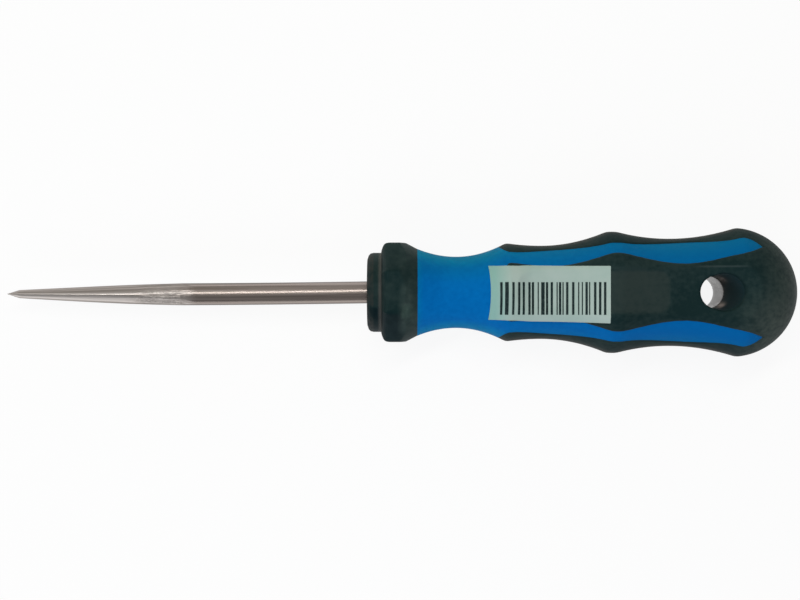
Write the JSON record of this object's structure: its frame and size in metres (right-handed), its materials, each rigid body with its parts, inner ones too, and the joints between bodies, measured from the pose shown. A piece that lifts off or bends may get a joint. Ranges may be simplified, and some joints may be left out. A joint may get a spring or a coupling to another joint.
{
  "type": "bradawl",
  "caption": "Bradawl with a square-ground steel point and a sculpted two-colour handle with wavy stripes, soft panels, an anti-roll collar and a hanging hole in the butt.",
  "frame": {"origin": "on the tool's axis at the front face of the collar, where the blade leaves the handle", "axes": "+X along the tool from the point to the butt, +Z out of the front panel along the hanging hole"},
  "size_m": [0.1794, 0.0294, 0.0284],
  "materials": {
    "blade_steel": "ground along the bar, fine cross marks on the taper",
    "blue_plastic": "satin moulded",
    "collar_plastic": "satin moulded",
    "grip_soft": "matte soft-touch",
    "label_paper": "matte coated paper"
  },
  "bodies": {
    "root": {"blade": "blade_steel", "handle_core": "blue_plastic", "front_collar": "collar_plastic", "grip_overmould": "grip_soft", "paper_label": "label_paper"}
  },
  "joints": []
}
